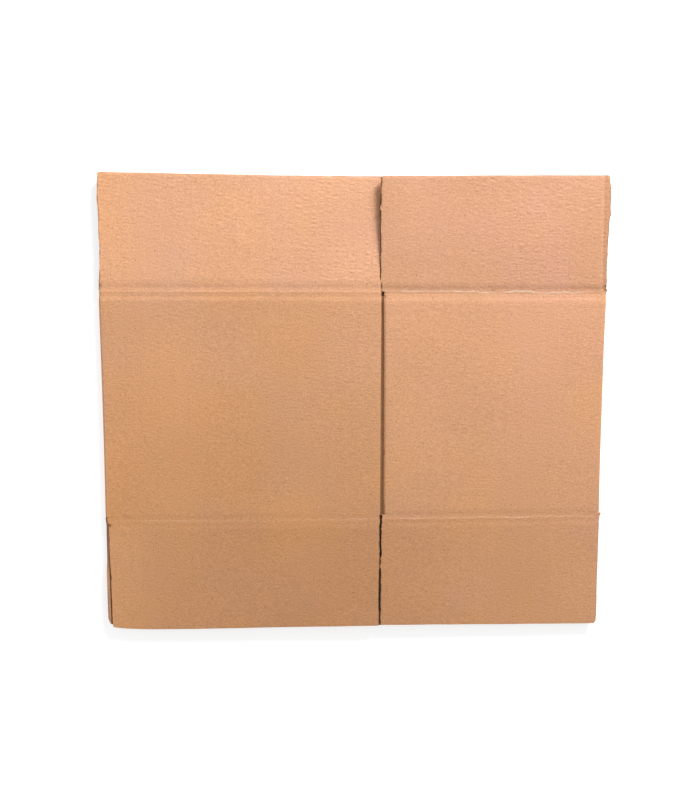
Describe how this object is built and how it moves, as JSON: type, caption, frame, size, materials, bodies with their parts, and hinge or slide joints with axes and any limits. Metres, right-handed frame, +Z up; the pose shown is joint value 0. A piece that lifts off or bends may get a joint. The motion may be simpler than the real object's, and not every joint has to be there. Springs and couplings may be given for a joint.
{
  "type": "flattened cardboard box",
  "caption": "Plain slotted corrugated cardboard box folded flat: walls, glued corner and rear flaps in one sheet, with front flaps that hinge up on their scores.",
  "frame": {"origin": "centre of the sheet's outline, on the surface that it lies on", "axes": "+Z up out of the front walls, +X across the flutes towards the narrow front wall, +Y along the flutes towards the top flaps"},
  "size_m": [0.522, 0.471, 0.0183],
  "materials": {
    "kraft_board": "matt unprinted kraft liner"
  },
  "bodies": {
    "box_walls": {"box_walls": "kraft_board"},
    "top_flap_left": {"top_flap_left": "kraft_board"},
    "top_flap_right": {"top_flap_right": "kraft_board"},
    "bottom_flap_left": {"bottom_flap_left": "kraft_board"},
    "bottom_flap_right": {"bottom_flap_right": "kraft_board"}
  },
  "joints": [
    {"name": "top_left_fold", "type": "hinge", "parent": "box_walls", "child": "top_flap_left", "pos_m": [-0.116, 0.119, 0.00959], "axis": [1, 0, 0.0092], "range_deg": [0, 170]},
    {"name": "top_right_fold", "type": "hinge", "parent": "box_walls", "child": "top_flap_right", "pos_m": [0.142, 0.119, 0.00911], "axis": [1, 0, -0.0071], "range_deg": [-4, 166]},
    {"name": "bottom_left_fold", "type": "hinge", "parent": "box_walls", "child": "bottom_flap_left", "pos_m": [-0.116, -0.119, 0.00959], "axis": [-1, 0, -0.0092], "range_deg": [0, 170]},
    {"name": "bottom_right_fold", "type": "hinge", "parent": "box_walls", "child": "bottom_flap_right", "pos_m": [0.142, -0.119, 0.00911], "axis": [-1, 0, 0.0071], "range_deg": [0, 170]}
  ]
}
